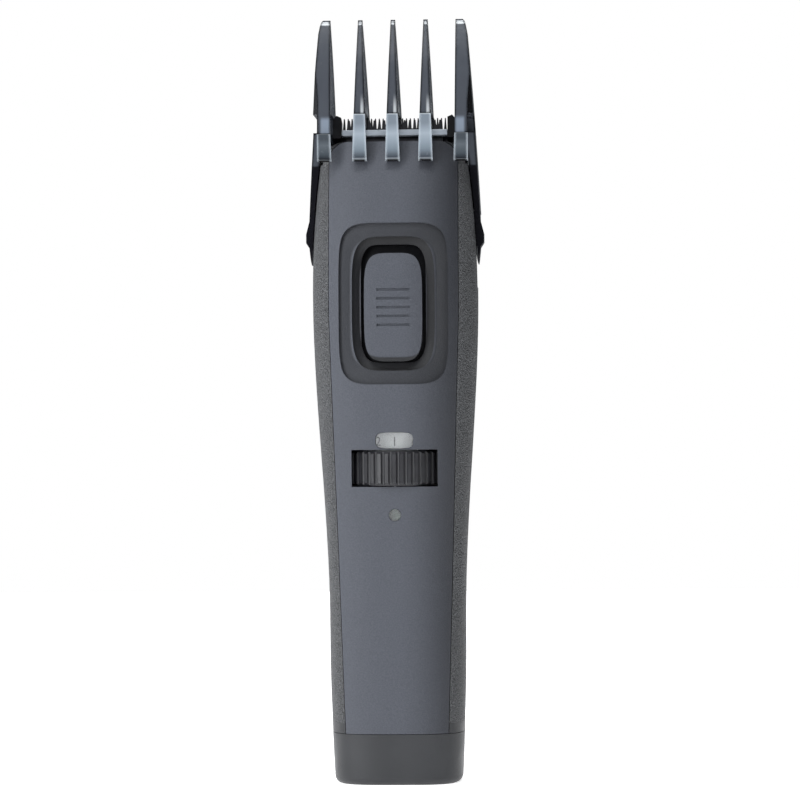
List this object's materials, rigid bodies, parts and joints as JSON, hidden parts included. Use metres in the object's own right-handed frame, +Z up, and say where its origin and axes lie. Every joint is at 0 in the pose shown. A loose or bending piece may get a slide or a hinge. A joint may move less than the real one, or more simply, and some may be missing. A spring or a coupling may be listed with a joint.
{
  "type": "hair clipper",
  "caption": "Upright cordless hair clipper with a toothed cutter, a clip-on length comb on side arms, a sliding power switch in a dish and a thumb dial that raises the comb.",
  "frame": {"origin": "middle of the flat base, under the middle of the whole object", "axes": "+Z up to the comb tips, -Y the front with the switch, +X to the right of the front"},
  "size_m": [0.0492, 0.0364, 0.2101],
  "materials": {
    "cover_grey": "fine matte grain",
    "grip_black": "coarse spark-eroded texture",
    "housing_black": "fine matte grain",
    "moulded_black": "satin moulded",
    "dial_black": "satin moulded",
    "chassis_white": "natural moulded",
    "comb_smoke": "smoky clear gloss",
    "lens_clear": "clear gloss",
    "led_clear": "clear gloss",
    "blade_black": "black coated steel",
    "bar_steel": "satin",
    "screw_steel": "bright zinc",
    "can_steel": "plated",
    "contact_nickel": "nickel plated",
    "bush_brass": "turned",
    "board_green": "solder mask",
    "cell_sleeve": "shrink sleeve",
    "seal_rubber": "soft matte"
  },
  "bodies": {
    "body": {"front_cover": "cover_grey", "left_grip": "grip_black", "right_grip": "grip_black", "rear_housing": "housing_black", "case_screws": "screw_steel", "base_cap": "housing_black", "inlet_socket": "moulded_black", "inlet_pins": "contact_nickel", "chassis": "chassis_white", "battery_cells": "cell_sleeve", "cell_contacts": "contact_nickel", "charge_board": "board_green", "charge_led": "led_clear", "indicator_lens": "lens_clear", "circuit_board": "board_green", "switch_body": "moulded_black", "dial_axle": "screw_steel", "dial_click_spring": "screw_steel", "scale_window": "lens_clear", "motor_can": "can_steel", "motor_end_cap": "chassis_white", "motor_bushing": "bush_brass", "fixed_blade": "blade_black", "guide_bar": "bar_steel", "blade_frame": "moulded_black", "blade_screws": "screw_steel", "head_frame": "moulded_black", "head_seal": "seal_rubber"},
    "switch": {"switch_button": "cover_grey", "switch_shutter": "moulded_black", "switch_lever": "chassis_white"},
    "dial": {"length_dial": "dial_black", "scale_ring": "chassis_white", "dial_screw": "chassis_white"},
    "carriage": {"carriage": "moulded_black", "follower_pin": "screw_steel"},
    "comb": {"comb": "comb_smoke"},
    "rotor": {"motor_shaft": "screw_steel", "eccentric": "chassis_white"},
    "drive": {"drive_arm": "chassis_white", "moving_blade": "blade_black"}
  },
  "joints": [
    {"name": "power_switch", "type": "slide", "parent": "body", "child": "switch", "axis": [0, 0, 1], "range_m": [0, 0.0018]},
    {"name": "dial_turn", "type": "hinge", "parent": "body", "child": "dial", "pos_m": [0, -0.0048, 0.0867], "axis": [0, 0, 1], "range_deg": [0, 270]},
    {"name": "comb_height", "type": "slide", "parent": "body", "child": "carriage", "axis": [0, 0, 1], "range_m": [0, 0.0095]},
    {"name": "comb_release", "type": "slide", "parent": "carriage", "child": "comb", "axis": [0, 0, 1], "range_m": [0, 0.045]},
    {"name": "motor_spin", "type": "hinge", "parent": "body", "child": "rotor", "pos_m": [0, 0.0012, 0.145], "axis": [0, 0, 1], "continuous": true},
    {"name": "cutter_stroke", "type": "slide", "parent": "body", "child": "drive", "axis": [1, 0, 0], "range_m": [-0.001, 0.001]}
  ],
  "couplings": [
    {"joint": "dial_turn", "follows": "comb_height", "rad_per_m": 496.04}
  ]
}
